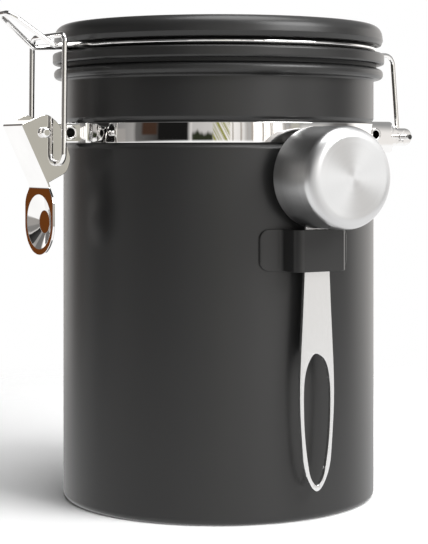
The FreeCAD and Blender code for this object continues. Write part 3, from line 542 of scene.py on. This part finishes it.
# valve, dial rings and screws
valveLook = {"ringEdge": 0.10 * mm, "capEdge": 0.10 * mm, "screwEdge": 0.15 * mm}
for node in ("day_ring", "month_ring"):
    sheetPiece(node, [ringGrey], valveLook["ringEdge"])
sheetPiece("valve_cap", [dialBlack], valveLook["capEdge"])
sheetPiece("valve_seat", [linerGrey])
sheetPiece("valve_disc", [rubber])
sheetPiece("valve_filter", [paper])
for node in ("liner_screw_1", "liner_screw_2", "liner_screw_3"):
    sheetPiece(node, [chrome], valveLook["screwEdge"])
print("valve and dial")

# numbers and ticks on the dial's two tracks
dialMarks = {"days": 31, "months": 12, "rimTall": 0.9 * mm, "rimWide": 1.2 * mm, "raised": 0.05 * mm,
             "dayTall": 3.0 * mm, "monthTall": 3.2 * mm, "monthOut": 1.75 * mm, "tickLong": 0.7 * mm,
             "tickWide": 0.22 * mm, "dayTickIn": 1.7 * mm, "monthTickOut": 1.8 * mm, "curveSteps": 3}
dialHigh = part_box("dial_base")[1]
trackLevel = dialHigh.z - dialMarks["rimTall"]
dayRadius = (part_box("day_ring")[1].x + dialHigh.x - dialMarks["rimWide"]) / 2
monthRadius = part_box("valve_cap")[1].x + dialMarks["monthOut"]


def addNumbers(bm, count, radius, tall):  # clockwise from the pointers' rest, tops outwards
    words = bpy.data.curves.new("numbers", "FONT")
    words.size = tall
    words.align_x, words.align_y = "CENTER", "CENTER"
    words.extrude = dialMarks["raised"]
    words.resolution_u = dialMarks["curveSteps"]
    writer = bpy.data.objects.new("numbers", words)
    bpy.context.scene.collection.objects.link(writer)
    for i in range(count):
        words.body = str(i + 1)
        bpy.context.view_layer.update()
        ready = writer.evaluated_get(bpy.context.evaluated_depsgraph_get())
        mesh = bpy.data.meshes.new_from_object(ready)
        turn = Matrix.Rotation(-2 * math.pi * i / count, 4, "Z")
        upright = Matrix.Rotation(-math.pi / 2, 4, "Z")
        mesh.transform(turn @ Matrix.Translation((radius, 0, trackLevel)) @ upright)
        bm.from_mesh(mesh)
        bpy.data.meshes.remove(mesh)
    bpy.data.objects.remove(writer)


def tickTree():  # short bars on a ring, pointing to its middle
    tree = bpy.data.node_groups.new("tickRing", "GeometryNodeTree")
    for name, kind in (("Count", "NodeSocketInt"), ("Radius", "NodeSocketFloat"), ("Long", "NodeSocketFloat"),
                       ("Wide", "NodeSocketFloat"), ("Tall", "NodeSocketFloat"), ("Level", "NodeSocketFloat"),
                       ("Finish", "NodeSocketMaterial")):
        tree.interface.new_socket(name, in_out="INPUT", socket_type=kind)
    tree.interface.new_socket("Geometry", in_out="OUTPUT", socket_type="NodeSocketGeometry")
    g = Graph(tree)
    g.prefix = "GeometryNode"
    given = g.node("NodeGroupInput", {}, {}).socket.node.outputs
    asked = {socket.name: Wire(g, socket) for socket in given if socket.name}
    ring = g.node("MeshCircle", {}, {"Vertices": asked["Count"], "Radius": asked["Radius"]})
    size = g.node("ShaderNodeCombineXYZ", {}, {"X": asked["Long"], "Y": asked["Wide"], "Z": asked["Tall"]})
    bar = g.node("MeshCube", {}, {"Size": size})
    spot = g.node("InputPosition", {}, {})
    facing = g.node("FunctionNodeAlignRotationToVector", {"axis": "X"}, {"Vector": spot})
    bars = g.node("InstanceOnPoints", {}, {"Points": ring, "Instance": bar, "Rotation": facing})
    lift = g.node("ShaderNodeCombineXYZ", {}, {"Z": asked["Level"]})
    raised = g.node("Transform", {}, {"Geometry": bars, "Translation": lift})
    solid = g.node("RealizeInstances", {}, {"Geometry": raised})
    inked = g.node("SetMaterial", {}, {"Geometry": solid, "Material": asked["Finish"]})
    g.node("NodeGroupOutput", {}, {"Geometry": inked})
    return tree


def addTicks(bm, tree, values):
    maker = bpy.data.objects.new("ticks", bpy.data.meshes.new("ticks"))
    bpy.context.scene.collection.objects.link(maker)
    setUp = maker.modifiers.new("ticks", "NODES")
    setUp.node_group = tree
    for socket in tree.interface.items_tree:
        if socket.in_out == "INPUT":
            setUp[socket.identifier] = values[socket.name]
    mesh = settled(maker).data
    bm.from_mesh(mesh)
    bpy.data.objects.remove(maker)


def dialPrint():
    bm = bmesh.new()
    addNumbers(bm, dialMarks["days"], dayRadius, dialMarks["dayTall"])
    addNumbers(bm, dialMarks["months"], monthRadius, dialMarks["monthTall"])
    tree = tickTree()
    rings = ((dialMarks["days"], dayRadius - dialMarks["dayTickIn"]),
             (dialMarks["months"], monthRadius + dialMarks["monthTickOut"]))
    for count, radius in rings:
        addTicks(bm, tree, {"Count": count, "Radius": radius, "Long": dialMarks["tickLong"],
                            "Wide": dialMarks["tickWide"], "Tall": 2 * dialMarks["raised"],
                            "Level": trackLevel, "Finish": numberWhite})
    for face in bm.faces:
        face.material_index = 0
    bmesh.ops.remove_doubles(bm, verts=bm.verts, dist=meshCare["merge"])
    bmesh.ops.recalc_face_normals(bm, faces=bm.faces)
    obj = finished(bm, "dialNumbers", [numberWhite])
    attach(obj, frame["nodes"]["dial_base"]["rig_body"])


dialPrint()
print("dial numbers and ticks")

# plain stage, soft light and the camera; a side is an angle to the right of the camera, a rise one above the level
studio = {"floorSize": 0.9, "floorNear": 0.20, "floorFar": 0.40, "floorTone": 0.90, "floorSeen": 1.22,
          "shade": 0.03, "bright": 0.30, "brightSide": 70.0, "brightLean": (-0.7, 0.9)}
lamps = {"key": {"power": 8.0, "size": (0.6, 0.5), "side": 55.0, "rise": 35.0, "away": 1.0, "mirrored": True},
         "top": {"power": 7.0, "size": (0.7, 0.7), "side": 60.0, "rise": 82.0, "away": 1.0, "mirrored": True},
         "front": {"power": 2.5, "size": (0.6, 0.8), "side": 22.0, "rise": 10.0, "away": 1.1, "mirrored": False}}
lens = {"side": 32.0, "away": 0.632, "height": 0.1319, "focalPixels": 1626.0, "width": 428.0, "tall": 544.0,
        "axisX": 218.5, "axisY": 152.0, "sensor": 36.0}


def towards(side, rise=0.0):  # direction from the canister, turned to the right from the camera
    turn = math.radians(side - lens["side"])
    level = math.cos(math.radians(rise))
    return Vector((math.sin(turn) * level, -math.cos(turn) * level, math.sin(math.radians(rise))))


def buildFloor():
    size = studio["floorSize"]
    mesh = bpy.data.meshes.new("floor")
    mesh.from_pydata([(-size, -size, 0), (size, -size, 0), (size, size, 0), (-size, size, 0)], [], [(0, 1, 2, 3)])
    f = Finish(bpy.data.materials.new("paleFloor"))
    x, y, z = f.split(f.place())
    out = (x * x + y * y) ** 0.5
    seen = f.node("LightPath", {}, {}, "Is Camera Ray")
    tone = f.mix(seen, grey(studio["floorTone"]), grey(studio["floorSeen"]))
    paint = f.node("BsdfDiffuse", {}, {"Color": tone})
    clear = f.node("BsdfTransparent", {}, {})
    fade = out.rises(studio["floorNear"], studio["floorFar"])
    f.node("OutputMaterial", {}, {"Surface": f.node("MixShader", {}, {0: fade, 1: paint, 2: clear})})
    mesh.materials.append(f.owner)
    floor = bpy.data.objects.new("floor", mesh)
    bpy.context.scene.collection.objects.link(floor)
    floor.visible_glossy = False  # polished parts mirror the room's own pale floor, without shadows


# the room that polished parts mirror: its walls by side and tone, then what stands before them
roomWalls = [(-180, 1.4), (-139, 1.4), (-132, 0.16), (-113, 0.22), (-112, 0.62), (-104, 0.62), (-103, 0.02),
             (-87, 0.02), (-86, 0.9), (-84, 0.22), (-64, 0.36), (-62, 0.12), (-45, 0.05), (-44, 0.010),
             (-21.5, 0.010), (-20.5, 0.95), (-19, 0.55), (-6, 0.62), (9, 1.0), (19, 0.8), (20, 0.45), (24, 0.5),
             (25, 1.7), (46, 1.6), (48, 0.5), (61, 0.5), (64, 0.98), (80, 0.90), (90, 0.15), (108, 0.15), (122, 1.4)]
room = {"wallWarm": 0.03,
        "curtain": {"side": (8, 54), "rise": (-12, 30), "tone": grey(0.42, 0.10), "scale": 0.35,
                    "gaps": (0.50, 0.58)},
        "wood": {"side": (-57, -45), "rise": (-1.5, 12), "soft": 1.5, "tone": (0.055, 0.030, 0.020, 1.0)},
        "box": {"side": (-81, -71), "rise": (-12, 4), "tone": grey(0.36, 0.05)},
        "bush": {"side": (-19, -4), "rise": (-14, 14), "tone": (0.030, 0.035, 0.020, 1.0), "scale": 0.16,
                 "low": -8, "tall": 16, "ragged": 3.0},
        "blades": {"side": (-4, 8), "rise": (-10, 12), "tone": (0.30, 0.30, 0.06, 1.0), "scale": 0.5,
                   "slant": 0.35, "gaps": (0.42, 0.58)},
        "upperWall": {"side": (50, 92), "rise": (6, 60), "soft": 4.0, "tone": grey(0.35)},
        "ceiling": {"low": grey(0.20), "high": grey(0.60), "left": grey(0.10), "scale": 0.25, "streaks": (0.3, 0.7),
                    "dimmed": (-70, 20), "starts": (14, 24)},
        "floor": {"tone": grey(1.12), "ends": (-9.5, -6.5)},
        "card": {"side": (-129, -117), "rise": (-5.5, 1), "tone": (0.145, 0.044, 0.010, 1.0)},
        "farPost": {"side": (-163, -160), "rise": (-20, 14), "soft": 1.5, "tone": grey(0.2)},
        "nearPost": {"side": (-150, -147), "rise": (-20, 14), "soft": 1.5, "tone": grey(0.2)},
        "beigeWall": {"side": (54, 61), "rise": (-9, 9), "low": (0.38, 0.365, 0.315, 1.0),
                      "high": (0.52, 0.50, 0.44, 1.0), "fades": (-4.2, -0.6)}}


def roomTone(f, side, rise):
    def within(angle, limits, soft):
        low, high = limits
        return angle.rises(low - soft, low + soft) * (1 - angle.rises(high - soft, high + soft))

    def put(shown, name, share=1.0, tone=None):
        thing = room[name]
        soft = thing.get("soft", 1.0)
        there = within(side, thing["side"], soft) * within(rise, thing["rise"], soft)
        return f.mix(there * share, shown, tone or thing["tone"])

    def rows(angle, scale, detail=2.0):
        return f.noise(f.join(angle, 0.0, 0.0), scale, detail)

    curtain, bush, blades = room["curtain"], room["bush"], room["blades"]
    ceiling, floor, beige = room["ceiling"], room["floor"], room["beigeWall"]
    stops = [((angle + 180) / 360, grey(tone, room["wallWarm"])) for angle, tone in roomWalls]
    shown = f.node("ValToRGB", {"stops": stops}, {"Fac": side / 360 + 0.5})
    shown = put(shown, "curtain", rows(side, curtain["scale"]).rises(*curtain["gaps"]))
    shown = put(shown, "wood")
    shown = put(shown, "box")
    bushTop = rows(side, bush["scale"]) * bush["tall"] + bush["low"]
    shown = put(shown, "bush", 1 - (rise - bushTop).rises(-bush["ragged"], bush["ragged"]))
    leaning = side + rise * blades["slant"]
    shown = put(shown, "blades", rows(leaning, blades["scale"], 1.0).rises(*blades["gaps"]))
    shown = put(shown, "upperWall")
    streaks = rows(side, ceiling["scale"], 3.0).rises(*ceiling["streaks"])
    above = f.mix(streaks, ceiling["low"], ceiling["high"])
    above = f.mix(side.rises(*ceiling["dimmed"]), ceiling["left"], above)
    shown = f.mix(rise.rises(*ceiling["starts"]), shown, above)
    shown = f.mix(rise.rises(*floor["ends"]), floor["tone"], shown)
    for name in ("card", "farPost", "nearPost"):
        shown = put(shown, name)
    shade = f.mix(rise.rises(*beige["fades"]), beige["low"], beige["high"])
    return put(shown, "beigeWall", tone=shade)


def buildWorld():
    world = bpy.data.worlds.new("studio")
    bpy.context.scene.world = world
    f = Finish(world)
    x, y, z = f.split(f.node("TexCoord", {}, {}, "Generated"))
    front, right, lit = towards(0), towards(90), towards(studio["brightSide"])
    degrees = 180 / math.pi
    side = (x * right.x + y * right.y).maths("ARCTAN2", x * front.x + y * front.y) * degrees
    rise = z.maths("ARCSINE") * degrees
    seen = f.node("LightPath", {}, {}, "Is Camera Ray")
    mirrored = f.node("LightPath", {}, {}, "Is Glossy Ray") + f.node("LightPath", {}, {}, "Is Transmission Ray")
    lean = (x * lit.x + y * lit.y).rises(*studio["brightLean"])
    ambient = f.mix(lean, grey(studio["shade"]), grey(studio["bright"]))
    tone = f.mix(seen, f.mix(mirrored, ambient, roomTone(f, side, rise)), grey(1.0))
    f.node("OutputWorld", {}, {"Surface": f.node("Background", {}, {"Color": tone, "Strength": 1.0})})


def buildLamp(name, look):
    lamp = bpy.data.lights.new(name, "AREA")
    lamp.shape = "RECTANGLE"
    lamp.size, lamp.size_y = look["size"]
    lamp.energy = look["power"]
    stand = bpy.data.objects.new(name, lamp)
    middle = Vector((0, 0, cadBox[1][2] / 2))
    stand.location = middle + towards(look["side"], look["rise"]) * look["away"]
    stand.rotation_euler = (stand.location - middle).to_track_quat("Z", "Y").to_euler()
    stand.visible_glossy = look["mirrored"]
    bpy.context.scene.collection.objects.link(stand)


def buildCamera():
    camera = bpy.data.objects.new("camera", bpy.data.cameras.new("camera"))
    view = camera.data
    view.sensor_width = lens["sensor"]
    view.lens = lens["sensor"] * lens["focalPixels"] / lens["tall"]
    view.shift_x = (lens["width"] / 2 - lens["axisX"]) / lens["tall"]
    view.shift_y = (lens["axisY"] - lens["tall"] / 2) / lens["tall"]
    view.clip_start = 0.01
    camera.location = towards(0) * lens["away"] + Vector((0, 0, lens["height"]))
    camera.rotation_euler = (math.radians(90), 0, math.radians(-lens["side"]))
    bpy.context.scene.collection.objects.link(camera)
    bpy.context.scene.camera = camera


buildFloor()
buildWorld()
for name, look in lamps.items():
    buildLamp(name, look)
buildCamera()
bpy.context.scene.view_settings.view_transform = "Standard"
print("stage, light and camera")
